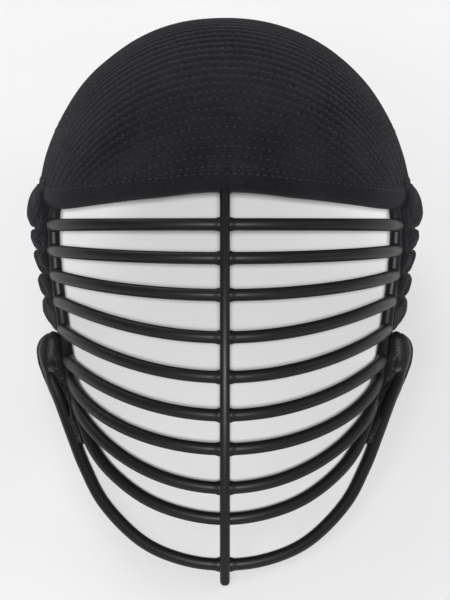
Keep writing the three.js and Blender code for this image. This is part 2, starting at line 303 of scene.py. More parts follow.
def frames_along(line, closed):
    tangent = unit(np.roll(line, -1, 0) - np.roll(line, 1, 0) if closed else np.gradient(line, axis=0))
    normal = np.empty_like(line)
    start = np.cross(tangent[0], (1.0, 0.0, 0.0))
    if norm(start) < 0.1:
        start = np.cross(tangent[0], (0.0, 0.0, 1.0))
    normal[0] = unit(start)
    for i in range(1, len(line)):
        normal[i] = unit(normal[i - 1] - tangent[i] * np.dot(normal[i - 1], tangent[i]))
    return tangent, normal, np.cross(tangent, normal)


def rod_grid(line, radii, sides=20, closed=False, cap=1.0):
    """Rings round a line; an open rod gets round ends, flatter where cap is small."""
    tangent, normal, binormal = frames_along(line, closed)
    turn = np.arange(sides) / sides * tau
    ring = np.cos(turn)[None, :, None] * normal[:, None] + np.sin(turn)[None, :, None] * binormal[:, None]
    grid = line[:, None] + ring * radii[:, None, None]
    if closed:
        return np.concatenate([grid, grid[:1]])
    tilt = np.linspace(0, 0.5, 6)[1:] * pi
    near, far = ([line[end] + radii[end] * (ring[end] * cos(a) + sign * cap * tangent[end] * sin(a))
                  for a in tilt] for end, sign in ((0, -1), (-1, 1)))
    return np.concatenate([near[::-1], grid, far])


# Materials

def shader(name, colour, roughness, **inputs):
    material = bpy.data.materials.new(name)
    material.use_nodes = True
    surface = material.node_tree.nodes["Principled BSDF"]
    surface.inputs["Base Color"].default_value = (*colour, 1)
    surface.inputs["Roughness"].default_value = roughness
    for socket, value in inputs.items():
        surface.inputs[socket.replace("_", " ")].default_value = value
    return material, material.node_tree


def feed(tree, output, name):
    tree.links.new(output, tree.nodes["Principled BSDF"].inputs[name])


def node(tree, kind, **values):
    """A new node; a value goes to the input of its name, or else to the setting of its name."""
    made = tree.nodes.new(kind)
    for key, value in values.items():
        if key in made.inputs:
            made.inputs[key].default_value = value
        else:
            setattr(made, key, value)
    return made


def ramp(tree, source, stops):
    made = node(tree, "ShaderNodeValToRGB")
    elements = made.color_ramp.elements
    for element, (place, colour) in zip(elements, (stops[0], stops[-1])):
        element.position = place
        element.color = (*colour, 1)
    for place, colour in stops[1:-1]:
        elements.new(place).color = (*colour, 1)
    tree.links.new(source, made.inputs["Fac"])
    return made.outputs["Color"]


def span(tree, source, low, high):
    made = node(tree, "ShaderNodeMapRange", **{"To Min": low, "To Max": high})
    tree.links.new(source, made.inputs["Value"])
    return made.outputs["Result"]


def bumps(tree, layers):
    """Chains height maps, each (height output, strength, depth in metres), onto the surface's normal."""
    previous = None
    for height, strength, depth in layers:
        bump = node(tree, "ShaderNodeBump", Strength=strength, Distance=depth)
        tree.links.new(height, bump.inputs["Height"])
        if previous is not None:
            tree.links.new(previous, bump.inputs["Normal"])
        previous = bump.outputs["Normal"]
    feed(tree, previous, "Normal")


def object_texture(tree, kind, **values):
    coordinates = node(tree, "ShaderNodeTexCoord")
    made = node(tree, kind, **values)
    tree.links.new(coordinates.outputs["Object"], made.inputs["Vector"])
    return made.outputs


def object_noise(tree, scale, detail=3.0, roughness=0.55):
    return object_texture(tree, "ShaderNodeTexNoise", Scale=scale, Detail=detail, Roughness=roughness)["Fac"]


def stripes(tree, period, turn, distortion=0.0):
    """Soft stripes on the piece's own millimetres, turned by some degrees; distortion makes them waver."""
    mapping = node(tree, "ShaderNodeMapping", Rotation=(0, 0, radians(turn)))
    uv = node(tree, "ShaderNodeUVMap", uv_map="millimetres").outputs["UV"]
    tree.links.new(uv, mapping.inputs["Vector"])
    scale = pi / 10 / period
    wave = node(tree, "ShaderNodeTexWave", bands_direction="X", Distortion=distortion, Scale=scale)
    tree.links.new(mapping.outputs["Vector"], wave.inputs["Vector"])
    return wave.outputs["Fac"]


def product(tree, first, second):
    made = node(tree, "ShaderNodeMath", operation="MULTIPLY")
    tree.links.new(first, made.inputs[0])
    tree.links.new(second, made.inputs[1])
    return made.outputs["Value"]


def lacquer():
    """Black lacquer on light alloy: satin, a little uneven, rubbed thin in small spots."""
    material, tree = shader("black_lacquer", (0.006, 0.006, 0.007), 0.45, Coat_Weight=0.1,
                            Coat_Roughness=0.35, Specular_IOR_Level=0.25)
    broad = object_noise(tree, 45)
    fine = object_noise(tree, 900, 4)
    rubbed = object_noise(tree, 260, 5, 0.7)
    stops = [(0.0, (0.004, 0.004, 0.005)), (0.66, (0.007, 0.007, 0.008)), (0.73, (0.026, 0.026, 0.028))]
    feed(tree, ramp(tree, rubbed, stops), "Base Color")
    feed(tree, span(tree, broad, 0.4, 0.55), "Roughness")
    bumps(tree, [(fine, 0.08, 0.0004), (broad, 0.12, 0.0008)])
    return material


def woven(name, colour, worn_colour, thread_pitch, relief):
    """Black cotton: threads that cross on the slant, slubs, and paler places where it is rubbed."""
    material, tree = shader(name, colour, 0.9, Sheen_Weight=0.07, Sheen_Roughness=0.5,
                            Sheen_Tint=(0.6, 0.62, 0.68, 1), Specular_IOR_Level=0.12)
    weave = product(tree, *(stripes(tree, thread_pitch, turn, 0.5) for turn in (45, -45)))
    slubs = object_noise(tree, 420, 4, 0.65)
    rubbed = product(tree, slubs, object_noise(tree, 26, 3))
    feed(tree, ramp(tree, rubbed, [(0.12, colour), (0.45, worn_colour)]), "Base Color")
    bumps(tree, [(slubs, 0.35, 0.0007), (weave, relief, 0.0004)])
    return material


def leather():
    """Black leather: fine pebbled grain with a few creases, smoother where it is rubbed."""
    material, tree = shader("black_leather", (0.006, 0.006, 0.006), 0.5, Specular_IOR_Level=0.3)
    grain = object_texture(tree, "ShaderNodeTexVoronoi", Scale=900)["Distance"]
    creases = object_noise(tree, 130, 6, 0.7)
    patches = object_noise(tree, 40, 3)
    stops = [(0.35, (0.004, 0.004, 0.004)), (0.7, (0.012, 0.011, 0.011))]
    feed(tree, ramp(tree, patches, stops), "Base Color")
    feed(tree, span(tree, patches, 0.62, 0.42), "Roughness")
    bumps(tree, [(creases, 0.3, 0.001), (grain, 0.3, 0.0004)])
    return material


def thread():
    """Waxed black thread, a little lighter than the cloth, twisted."""
    material, tree = shader("black_thread", (0.02, 0.02, 0.023), 0.55, Specular_IOR_Level=0.3)
    twist = stripes(tree, period=0.7, turn=35)
    wear = object_noise(tree, 700, 2)
    feed(tree, ramp(tree, wear, [(0.35, (0.013, 0.013, 0.015)), (0.7, (0.03, 0.03, 0.034))]), "Base Color")
    bumps(tree, [(twist, 0.5, 0.0002)])
    return material


LACQUER = lacquer()
COTTON = woven("black_cotton", (0.006, 0.006, 0.007), (0.018, 0.018, 0.02), thread_pitch=1.2, relief=0.4)
LINING = woven("black_lining", (0.007, 0.007, 0.008), (0.014, 0.014, 0.016), thread_pitch=1.0, relief=0.25)
TAPE = woven("black_tape", (0.005, 0.005, 0.006), (0.014, 0.014, 0.016), thread_pitch=0.8, relief=0.45)
LEATHER = leather()
THREAD = thread()


# Grille

WELD = Sizes(height=0.8, width=1.5)
# Spacing of a rod's rings, and how flat and how much thinner than its rod a cross bar ends
ROD_GRID = Sizes(spacing=2.2, bar_spacing=1.5, bar_cap=0.15, bar_end_thinner=0.4)
CENTRE_GRID = Sizes(rings=130, sides=32, foot=8, roundness=0.75, end_share=0.7, end_round=0.4)


def weld_swell(distance):
    return WELD.height * np.exp(-((distance / WELD.width) ** 2))


def centre_weld(line):
    """The bead where a bar meets the flat sides of the centre bar."""
    return weld_swell(np.abs(line[:, 0]) - CENTRE_BAR.width / 2)


def lacquered(stands_for, grid):
    grid_piece(stands_for + "_rod", grid, [LACQUER], [stands_for])


def build_grille():
    line = even_line(FRAME_LINE, ROD_GRID.spacing, closed=True)
    lacquered("face_frame", rod_grid(line, np.full(len(line), ROD_RADIUS), closed=True))
    line = even_line(RIM_LINE, ROD_GRID.spacing)
    lacquered("chin_rim", rod_grid(line, ROD_RADIUS + centre_weld(line)))
    for number, shape in enumerate(CROSS_BARS, 1):
        line = even_line(cross_bar_line(*shape), ROD_GRID.bar_spacing)
        to_end = np.minimum(norm(line - line[0], axis=1), norm(line - line[-1], axis=1))
        radii = ROD_RADIUS + centre_weld(line) + weld_swell(to_end - ROD_RADIUS)
        thin = np.minimum(radii, ROD_RADIUS - ROD_GRID.bar_end_thinner)
        radii = np.where(to_end < ROD_RADIUS, thin, radii)
        lacquered(f"cross_bar_{number}", rod_grid(line, radii, cap=ROD_GRID.bar_cap))


def build_centre_bar():
    """A flat bar on edge with round edges, its foot rounded off."""
    half_width, half_depth = CENTRE_BAR.width / 2, CENTRE_BAR.depth / 2
    line = centre_bar_line(np.linspace(half_width, CENTRE_BAR.top, CENTRE_GRID.rings))
    tangent = unit(np.gradient(line, axis=0))
    side = np.broadcast_to([1.0, 0.0, 0.0], tangent.shape)
    deep = np.cross(tangent, side)
    turn = np.arange(CENTRE_GRID.sides) / CENTRE_GRID.sides * tau
    s, c = superellipse(turn, CENTRE_GRID.roundness)
    section = (side[:, None] * (half_width * c)[None, :, None]
               + deep[:, None] * (half_depth * s)[None, :, None])
    foot = [line[0] + section[0] * cos(a) - tangent[0] * half_width * sin(a)
            for a in np.linspace(0.5, 0, CENTRE_GRID.foot)[:-1] * pi]
    end = (line[-1] + section[-1:] * np.array([CENTRE_GRID.end_share, 0.0])[:, None, None]
           + tangent[-1] * CENTRE_GRID.end_round)
    lacquered("centre_bar", np.concatenate([np.array(foot), line[:, None] + section, end]))


# Stitches

STITCH = Sizes(length=2.7, pitch=4.3, radius=0.42, rise=0.22, dip=0.25)
STITCH_SIDES = 5
STITCH_RINGS = ((0.12, 0.75), (0.5, 1.0), (0.88, 0.75))


def stitch_template():
    """One stitch along X as place, across and up shares, with its faces."""
    turns = [tau * side / STITCH_SIDES for side in range(STITCH_SIDES)]
    rings = [(along, size * cos(turn), size * sin(turn)) for along, size in STITCH_RINGS for turn in turns]
    points = [(0.0, 0.0, 0.0), *rings, (1.0, 0.0, 0.0)]
    tip = len(points) - 1
    last = tip - STITCH_SIDES
    faces = []
    for side in range(STITCH_SIDES):
        after = (side + 1) % STITCH_SIDES
        faces.append([0, 1 + after, 1 + side])
        for a in range(1, last, STITCH_SIDES):
            b = a + STITCH_SIDES
            faces.append([a + side, a + after, b + after, b + side])
        faces.append([last + side, last + after, tip])
    return np.array(points), faces


def stitches_along(line, normals, offset=0.0):
    """Starts, ends and normals of running stitches on a line, the first one offset along it."""
    along = lengths_along(line)
    starts = np.arange(offset, along[-1] - STITCH.length, STITCH.pitch)
    return (values_at(line, along, starts), values_at(line, along, starts + STITCH.length),
            unit(values_at(normals, along, starts + STITCH.length / 2)))


def stitching_piece(name, runs):
    """One piece of many stitches, each a short arched thread whose ends dip into the cloth."""
    starts, ends, normals = (np.concatenate([run[k] for run in runs]) for k in range(3))
    template, faces = stitch_template()
    along = ends - starts
    across = unit(np.cross(normals, along))
    lift = STITCH.rise - (STITCH.rise + STITCH.dip) * (2 * template[:, 0] - 1) ** 2
    points = (starts[:, None] + along[:, None] * template[None, :, :1]
              + across[:, None] * template[None, :, 1:2] * STITCH.radius
              + normals[:, None] * (template[None, :, 2:] * STITCH.radius + lift[None, :, None]))
    count = len(starts)
    every = [[corner + i * len(template) for corner in face] for i in range(count) for face in faces]
    around = np.arctan2(template[:, 2], template[:, 1]) / pi
    one = [(template[c, 0] * STITCH.length, around[c]) for face in faces for c in face]
    uvs = np.tile(np.array(one), (count, 1))
    return new_piece(name, flattened(to_row(points.reshape(-1, 3))), every, uvs, [THREAD])


# Padding

# The centre bar is taken as points from its foot up, and only points within a margin of a rod are looked at
CLEARING = Sizes(bar_points=160, bar_foot=3, margin=8, batch=4000)


def clear_of_rods(points):
    """Worn points pushed off the frame, the rim and the centre bar by a rod's radius and a small gap."""
    pushed = points.copy()
    bar = centre_bar_line(np.linspace(CLEARING.bar_foot, CENTRE_BAR.top, CLEARING.bar_points))
    margin, batch = CLEARING.margin, CLEARING.batch
    for line in (even_line(FRAME_LINE, 1.0, closed=True), even_line(RIM_LINE, 1.0), bar):
        near = np.flatnonzero((pushed > line.min(0) - margin).all(1) & (pushed < line.max(0) + margin).all(1))
        for start in range(0, len(near), batch):
            chosen = near[start:start + batch]
            away = pushed[chosen][:, None] - line[None]
            distance = norm(away, axis=2)
            best = distance.argmin(1)
            rows = np.arange(len(chosen))
            short = distance[rows, best] < ROD_RADIUS + GAP
            moved = line[best] + unit(away[rows, best]) * (ROD_RADIUS + GAP)
            pushed[chosen[short]] = moved[short]
    return pushed


def soft_noise(points, grain):
    shifted = points.reshape(-1, 3) / grain.scale + grain.seed * np.array([13.1, 7.7, 3.3])
    return grain.depth * np.array([noise.noise(p) for p in shifted.tolist()]).reshape(points.shape[:-1])


# Dome

def hem_line():
    """The hem's points on a smooth curve, which goes on mirrored past the front and the back."""
    before, after = HEM[3], HEM[6]
    spline = smooth_line([(-before[0], before[1]), *HEM, (360 - after[0], after[1])])
    return spline[np.argsort(spline[:, 0])]


HEM_LINE = hem_line()
# Rows down each part of the dome, from the crown over the hem to the crown's inside
DOME_GRID = Sizes(around=470, outer=152, band=6, edge=12, inner=20, step=0.0025)
# The tape round the hem: share of the fall, height over the cloth, and heights of its stitches and its top
BAND = Sizes(share=0.034, height=0.8, stitches=9.6, top=11.2)
# Stitched rows lie in planes through one line under the ears, a step apart
QUILT = Sizes(axis_z=150.0, step=radians(2.16), depth=1.3, roundness=0.7, ridge=0.55)
# Where the rows crowd, every other one ends: the pitch where that begins, and where it is done
ENDS_AT_PITCH = ((4.4, 3.4), (2.2, 1.7), (1.1, 0.85))
# Points tried along a row, halvings of the search for the shell, and the shortest row that gets stitches
ROW_SEARCH = Sizes(points=500, halvings=40, shortest=8)
# The radius that turns a row's angles into millimetres
UV_REACH = 150.0
PUCKER = Sizes(depth=0.25, scale=2.6, seed=5)
UNEVEN = Sizes(depth=0.4, scale=24.0, seed=1)
# How far off the cloth a stitch is looked for
SEAT_REACH = 5.0


def hem_height(degrees):
    return np.interp(np.abs(degrees), HEM_LINE[:, 0], HEM_LINE[:, 1])


def hem_round(phi):
    """The hem's height at turns from the front, in radians."""
    return hem_height(np.degrees((phi + pi) % tau - pi))


def hem_beside(points):
    """The hem's height where the points lie round the dome."""
    ahead = -(points[:, 1] - DOME.middle_y) / DOME.half_depth
    return hem_height(np.degrees(np.arctan2(points[:, 0] / DOME.half_width, ahead)))


def dome_share(height):
    return np.clip(np.abs(height - DOME.widest_z) / (MASK_HEIGHT - DOME.widest_z), 0, 0.99999)


def dome_spread(share):
    """Width of the dome as a share of its widest, a share of the way up to its top."""
    return (1 - share ** DOME.fullness) ** (1 / DOME.fullness)


def dome_place(phi, height, spread, depth):
    """Points round the dome at turns from the front, a depth inside its outer face."""
    return np.stack([(DOME.half_width - depth) * spread * np.sin(phi),
                     DOME.middle_y - (DOME.half_depth - depth) * spread * np.cos(phi), height], -1)


def dome_outside(points):
    """Below 0 within the dome's outer face, above 0 outside it."""
    x, y, z = points[..., 0], points[..., 1] - DOME.middle_y, points[..., 2]
    return (x / DOME.half_width) ** 2 + (y / DOME.half_depth) ** 2 - dome_spread(dome_share(z)) ** 2


def dome_normal(points):
    x, y, z = points[..., 0], points[..., 1] - DOME.middle_y, points[..., 2]
    share, power = dome_share(z), DOME.fullness
    slope = (1 - share ** power) ** (2 / power - 1) * share ** (power - 1) / (MASK_HEIGHT - DOME.widest_z)
    return unit(np.stack([x / DOME.half_width ** 2, y / DOME.half_depth ** 2,
                          slope * np.sign(z - DOME.widest_z)], -1))


def quilt_angle(points):
    """The turn of the points' row in radians, and their distance from the line that the rows go through."""
    y, z = points[..., 1] - DOME.middle_y, points[..., 2] - QUILT.axis_z
    return np.arctan2(z, -y), np.hypot(y, z)


def row_pitch(points):
    """Distance between stitched rows, measured over the cloth."""
    angle, reach = quilt_angle(points)
    across = np.stack([np.zeros_like(angle), np.sin(angle), np.cos(angle)], -1)
    tilt = (across * dome_normal(points)).sum(-1)
    return QUILT.step * reach / np.sqrt(np.clip(1 - tilt ** 2, 0.05, 1))


def soft_step(value, low, high):
    share = np.clip((value - low) / (high - low), 0, 1)
    return share * share * (3 - 2 * share)


def pillow(row):
    """Height over the rows, 0 on a stitched one and 1 midway between two."""
    from_seam = 2 * np.abs(row - np.round(row))
    return (1 - (1 - from_seam) ** 2) ** QUILT.roundness


def quilt_relief(points):
    """How far the quilted face stands out from the plain shell; it is deepest on a stitched row."""
    row = quilt_angle(points)[0] / QUILT.step
    pitch = row_pitch(points)
    height = pillow(row)
    for level, (begins, ends) in enumerate(ENDS_AT_PITCH, 1):
        merged = 1 - soft_step(pitch, ends, begins)
        height = height + (pillow(row / 2 ** level) - height) * merged
    puckers = (1 - height) * soft_noise(points, PUCKER)
    return QUILT.depth * (height - 1 + QUILT.ridge) + puckers


def dome_rows():
    """Down the outside, over the bound hem and up the inside.

    Each row's fall from the crown, share across the wall, and material.
    """
    g, band = DOME_GRID, 1 - BAND.share
    bound = np.linspace(band + g.step, 1, g.band)
    fall = np.concatenate([np.linspace(0, band, g.outer), bound, np.ones(g.edge - 1), bound[::-1],
                           np.linspace(band, 0, g.inner)])
    across = np.concatenate([np.zeros(g.outer + g.band), np.arange(1, g.edge) / g.edge,
                             np.ones(g.band + g.inner)])
    return fall, across, np.repeat([0, 2, 1], [g.outer, 2 * g.band + g.edge - 1, g.inner])


def dome_grid():
    """Worn points of the plain shell, and each row's material."""
    fall, across, taped = dome_rows()
    phi = np.arange(DOME_GRID.around) / DOME_GRID.around * tau
    wall, widest = DOME.wall, DOME.widest_z
    depth = (wall * (1 - np.cos(across * pi)) / 2)[:, None]
    hem_top = hem_round(phi)[None, :] + wall / 2
    top = MASK_HEIGHT - depth
    quarter = np.arccos((hem_top - widest) / (top - widest))
    height = widest + (top - widest) * np.cos(fall[:, None] * quarter)
    share = np.clip(np.abs(height - widest) / (MASK_HEIGHT - widest - depth), 0, 1)
    height = height - (wall / 2) * np.sin(across * pi)[:, None]
    return dome_place(phi, height, dome_spread(share), depth), taped


def grid_normals(grid):
    down = np.gradient(grid, axis=0)
    around = np.roll(grid, -1, 1) - np.roll(grid, 1, 1)
    normal = unit(np.cross(down, around))
    normal[0] = (0, 0, 1)
    normal[-1] = (0, 0, -1)
    return normal


def quilt_uvs(points):
    """Millimetres along and across the rows."""
    angle, reach = quilt_angle(points)
    along = UV_REACH * np.arctan2(points[..., 0], reach)
    return np.stack([along, (MASK_HEIGHT - QUILT.axis_z) * angle], -1)


def stitched_row(number):
    """The row's line over the shell, from the bound hem on one side to the other."""
    angle = number * QUILT.step
    x = np.linspace(-DOME.half_width, DOME.half_width, ROW_SEARCH.points)
    ahead = np.array([0, -cos(angle), sin(angle)])
    axis = np.stack([x, np.full_like(x, DOME.middle_y), np.full_like(x, QUILT.axis_z)], 1)
    low = np.full_like(x, (DOME.widest_z - QUILT.axis_z) / sin(angle))
    high = np.full_like(x, 2 * DOME.half_depth)
    reached = dome_outside(axis + ahead * low[:, None]) < 0
    for _ in range(ROW_SEARCH.halvings):
        middle = (low + high) / 2
        within = dome_outside(axis + ahead * middle[:, None]) < 0
        low, high = np.where(within, middle, low), np.where(within, high, middle)
    line = axis + ahead * low[:, None]
    pitch = row_pitch(line)
    ended = np.zeros(len(line), bool)
    for level, (begins, ends) in enumerate(ENDS_AT_PITCH, 1):
        if number % 2 ** level:
            ended |= pitch < (begins + ends) / 2
    return line[reached & ~ended & (line[:, 2] > hem_beside(line) + BAND.top)]


def hem_row(inside):
    """The line of the tape's stitches round the shell, on the outside or the inside, and its normals."""
    phi = np.linspace(0, tau, 721)
    height = hem_round(phi) + BAND.stitches
    depth = DOME.wall if inside else 0.0
    share = (height - DOME.widest_z) / (MASK_HEIGHT - DOME.widest_z - depth)
    line = dome_place(phi, height, dome_spread(share), depth)
    return line, dome_normal(line) * (-1 if inside else 1)


def seated(tree, line, normals):
    """The line's points moved along their normals onto the cloth."""
    placed = []
    for point, normal in zip(line, normals):
        hit = tree.ray_cast(Vector(point + normal * SEAT_REACH), Vector(-normal), 2 * SEAT_REACH)[0]
        placed.append(point if hit is None else hit)
    return np.array(placed)


def build_dome():
    grid, taped = dome_grid()
    normal = grid_normals(grid)
    outer = (np.arange(len(grid)) < DOME_GRID.outer + DOME_GRID.band)[:, None]
    lift = np.where((taped == 2)[:, None], BAND.height, 0.0) + soft_noise(grid, UNEVEN) * outer
    lift[taped == 0] += quilt_relief(grid[taped == 0])
    grid = clear_of_rods((grid + normal * lift[..., None]).reshape(-1, 3)).reshape(grid.shape)
    dome = grid_piece("dome_quilt", grid, [COTTON, LINING, TAPE], ["dome"], taped, quilt_uvs)
    tree = BVHTree.FromPolygons(grid.reshape(-1, 3).tolist(), grid_faces(*grid.shape[:2])[0].tolist())
    lines = [(hem_row(inside), 0.0) for inside in (False, True)]
    for number in range(1, int(pi / QUILT.step)):
        row = stitched_row(number)
        gaps = np.flatnonzero(norm(np.diff(row, axis=0), axis=1) > 3 * STITCH.pitch)
        for part in np.split(row, gaps + 1):
            if len(part) > ROW_SEARCH.shortest:
                lines.append(((part, dome_normal(part)), STITCH.pitch / 2 * (number % 2)))
    runs = []
    for line, offset in lines:
        points, normals = even_run(*line)
        runs.append(clear_stitches(stitches_along(seated(tree, points, normals), normals, offset)))
    stitching_piece("dome_stitches", runs)


def even_run(line, normals):
    """The line and its normals at points about a millimetre apart."""
    along = lengths_along(line)
    at = np.linspace(0, along[-1], max(4, int(along[-1])))
    return values_at(line, along, at), unit(values_at(normals, along, at))


def clear_stitches(run):
    """Leaves out stitches that would touch a rod or the floor."""
    starts, ends, normals = run
    middle = (starts + ends) / 2
    moved = norm(clear_of_rods(middle) - middle, axis=1) > 0
    low = np.minimum(to_row(starts)[:, 2], to_row(ends)[:, 2]) < MM
    keep = ~(moved | low)
    return starts[keep], ends[keep], normals[keep]


# Ear pads

def level_section(inner, outer, front, back, z, count):
    """An evenly spaced closed outline with round ends, starting at the middle of its front."""
    turn = np.linspace(0, tau, 721)[:-1]
    s, c = superellipse(turn, PAD_ROUNDNESS)
    x = (inner + outer) / 2 + (outer - inner) / 2 * s
    y = (front + back) / 2 - (back - front) / 2 * c
    ring = np.stack([x, y, np.full_like(x, z)], 1)
    full = np.vstack([ring, ring[:1]])
    along = lengths_along(full)
    return values_at(full, along, np.arange(count) / count * along[-1])


EAR_GRID = Sizes(per_channel=14, around=132, end_round=2.0)
# How deep the seams go at each face, and how a channel bulges; the first one starts with a shoulder
CHANNEL = Sizes(roundness=0.6, inner_groove=1.1, back_scallop=3.2, front_scallop=1.2,
                first_bulge=0.5, bulge=0.75)
# Rows that round off each end of a pad
END_ROWS = 5
EAR_PROUD = 0.4
# A pad's points this far inside its middle stay where they are when it is filled
PIN_INSIDE = 1.0
# Points left out at each end of a stitched line
EAR_TRIM = 16


def ear_channels():
    """Each channel's top and bottom, half widths there, bulge and how far down it is fullest."""
    ends = [row[:2] for row in EAR_CHANNELS[1:]] + [(EAR_PAD.bottom, EAR_PAD.bottom_seam)]
    return [(*row, *end) for row, end in zip(EAR_CHANNELS, ends)]


def ear_ring(z, outer, puff):
    at = frame_at(min(z, EAR_FRAME_TOP))
    inner = min(at[0] - EAR_PAD.inside_frame, outer - EAR_PAD.thin) + CHANNEL.inner_groove * (1 - puff)
    radius = EAR_PAD.heel_radius
    low = max(0.0, EAR_PAD.bottom + radius - z)
    back = EAR_PAD.back - radius + sqrt(radius ** 2 - low ** 2) - CHANNEL.back_scallop * (1 - puff)
    front = at[1] + CHANNEL.front_scallop * (1 - puff)
    ring = level_section(inner, outer, front, back, z, EAR_GRID.around)
    ring[:, 0] *= np.sqrt(1 - ((ring[:, 1] - DOME.middle_y) / EAR_BEND_RADIUS) ** 2)
    return ring


def rounded_over(ring, middle, lift, thin, shorter):
    """Rows that round a ring off above or below it: how thin and how much shorter the last one is."""
    centre = np.array([middle, ring[:, 1].mean(), ring[0, 2]])
    rows = []
    for i in range(1, END_ROWS + 1):
        tilt = i / END_ROWS * pi / 2
        row = centre + (ring - centre) * np.array([max(cos(tilt), thin), 1 - shorter * (1 - cos(tilt)), 1.0])
        row[:, 2] += lift * sin(tilt)
        rows.append(row)
    return rows


def ear_end(ring, sign):
    """Rounds a ring off to a narrow edge, closed along its middle."""
    middle = (ring[:, 0].max() + ring[:, 0].min()) / 2
    rows = rounded_over(ring, middle, sign * EAR_GRID.end_round, thin=0.08, shorter=0.04)
    return rows + [np.broadcast_to(rows[-1].mean(0), ring.shape)]


def ear_pad_grid():
    """The left ear pad's points, and which rows lie on a seam."""
    rows, seam = [], []
    for number, (top, width, bulge, crest, bottom, next_width) in enumerate(ear_channels()):
        late = log(0.5) / log(crest)
        power = CHANNEL.bulge if number else CHANNEL.first_bulge
        for i in range(EAR_GRID.per_channel):
            down = i / EAR_GRID.per_channel
            puff = sin(pi * down) ** CHANNEL.roundness
            swell = bulge * sin(pi * down ** late) ** power
            outer = width + (next_width - width) * down + EAR_PROUD + swell
            rows.append(ear_ring(top + (bottom - top) * down, outer, puff))
            seam.append(i == 0)
    rows.append(ear_ring(EAR_PAD.bottom, EAR_PAD.bottom_seam + EAR_PROUD, 0.0))
    seam.append(True)
    above, below = ear_end(rows[0], 1), ear_end(rows[-1], -1)
    flags = [False] * len(above) + seam + [False] * len(below)
    return np.array(above[::-1] + rows + below), np.array(flags)


def clear_of_dome(points):
    """Worn points pushed sideways out of the dome's wall, or down from its hem, whichever is nearer."""
    x, y, z = points.T
    proud = GAP + BAND.height
    hem = hem_beside(points) - proud
    spread = dome_spread(dome_share(np.maximum(z, DOME.widest_z)))
    reach = 1 - ((y - DOME.middle_y) / (DOME.half_depth * spread)) ** 2
    surface = DOME.half_width * spread * np.sqrt(np.clip(reach, 0, 1)) + proud
    inside = (np.abs(x) < surface) & (z > hem) & (reach > 0)
    go_down = inside & (z - hem < (surface - np.abs(x)) * 0.5)
    go_out = inside & ~go_down
    pushed = points.copy()
    pushed[go_out, 0] = (np.sign(x) * surface)[go_out]
    pushed[go_down, 2] = hem[go_down]
    return pushed


def cleared(grid):
    return clear_of_dome(clear_of_rods(grid.reshape(-1, 3))).reshape(grid.shape)


# The stuffed cloth while it is filled from inside
FILLED_CLOTH = {
    "vertex_group_mass": "pins", "quality": 8, "mass": 0.12, "tension_stiffness": 15,
    "compression_stiffness": 15, "shear_stiffness": 6, "bending_stiffness": 0.08, "use_pressure": True,
    "uniform_pressure_force": 2.5,
}
FILLING_FRAMES = 22


def inflated(name, grid, pins, growth, cap):
    """The grid's points after its cloth has been filled from inside.

    Pins hold seams and backs where they are, the cloth grows by a share, and the cap limits each point's way.
    """
    base = grid[1:-1].reshape(-1, 3) * MM
    mesh = bpy.data.meshes.new(name + "_filling")
    mesh.from_pydata(base.tolist(), [], grid_faces(len(grid) - 2, grid.shape[1])[0].tolist())
    filling = linked(mesh.name, mesh)
    group = filling.vertex_groups.new(name="pins")
    group.add([int(i) for i in np.flatnonzero(pins[1:-1].ravel())], 1.0, "REPLACE")
    cloth = filling.modifiers.new("cloth", "CLOTH")
    for setting, value in FILLED_CLOTH.items():
        setattr(cloth.settings, setting, value)
    cloth.settings.shrink_min = -growth
    cloth.settings.effector_weights.gravity = 0
    cloth.point_cache.frame_start = 1
    cloth.point_cache.frame_end = FILLING_FRAMES
    scene = bpy.context.scene
    for step in range(1, FILLING_FRAMES + 1):
        scene.frame_set(step)
    result = evaluated(filling).data
    moved = np.empty(len(result.vertices) * 3)
    result.vertices.foreach_get("co", moved)
    shift = (moved.reshape(-1, 3) - base) / MM
    scene.frame_set(1)
    bpy.data.objects.remove(filling)
    length = norm(shift, axis=1, keepdims=True)
    shift = shift * (cap * np.tanh(length / cap) / np.maximum(length, 1e-9))
    filled = grid.copy()
    filled[1:-1] += shift.reshape(filled[1:-1].shape)
    return filled


def doubled(grid, axis):
    """The grid with points added on smooth curves, between its rows or all the way round."""
    before, here, after, beyond = (np.roll(grid, shift, axis) for shift in (1, 0, -1, -2))
    middle = (-before + 9 * here + 9 * after - beyond) / 16
    if axis == 0:
        middle[0], middle[-2] = (grid[0] + grid[1]) / 2, (grid[-2] + grid[-1]) / 2
    shape = list(grid.shape)
    shape[axis] *= 2
    finer = np.stack([here, middle], axis + 1).reshape(shape)
    return finer[:-1] if axis == 0 else finer


def smooth_normals(grid):
    normal = grid_normals(grid)
    normal[0], normal[-1] = normal[1], normal[-2]
    return normal


def face_runs(grid, normal, row):
    """The row's lines on the pad's outer and inner face, and their normals."""
    half = grid.shape[1] // 2
    for start in (0, half):
        columns = slice(start + EAR_TRIM, start + half - EAR_TRIM)
        yield grid[row, columns], normal[row, columns]


def build_ear_pads():
    grid, seam = ear_pad_grid()
    grid = cleared(grid)
    middle = (grid[..., 0].max(1, keepdims=True) + grid[..., 0].min(1, keepdims=True)) / 2
    pins = (grid[..., 0] < middle - PIN_INSIDE) | seam[:, None]
    pins[:END_ROWS + 1] = pins[-END_ROWS - 1:] = True
    grid = inflated("ear_pad", grid, pins, growth=0.07, cap=1.4)
    fine = cleared(doubled(doubled(grid, 0), 1))
    left = grid_piece("ear_pad_left_quilt", fine, [COTTON], ["ear_pad_left"])
    right = mirrored_piece("ear_pad_right_quilt", left, ["ear_pad_right"])
    normal = smooth_normals(fine)
    runs = []
    for number, row in enumerate(2 * np.flatnonzero(seam)):
        if 0 < number < len(EAR_CHANNELS):
            for line, normals in face_runs(fine, normal, row):
                runs.append(clear_stitches(stitches_along(line, normals, STITCH.pitch / 2 * (number % 2))))
    stitches = stitching_piece("ear_pad_left_stitches", runs)
    mirrored_piece("ear_pad_right_stitches", stitches)


# Jaw pads

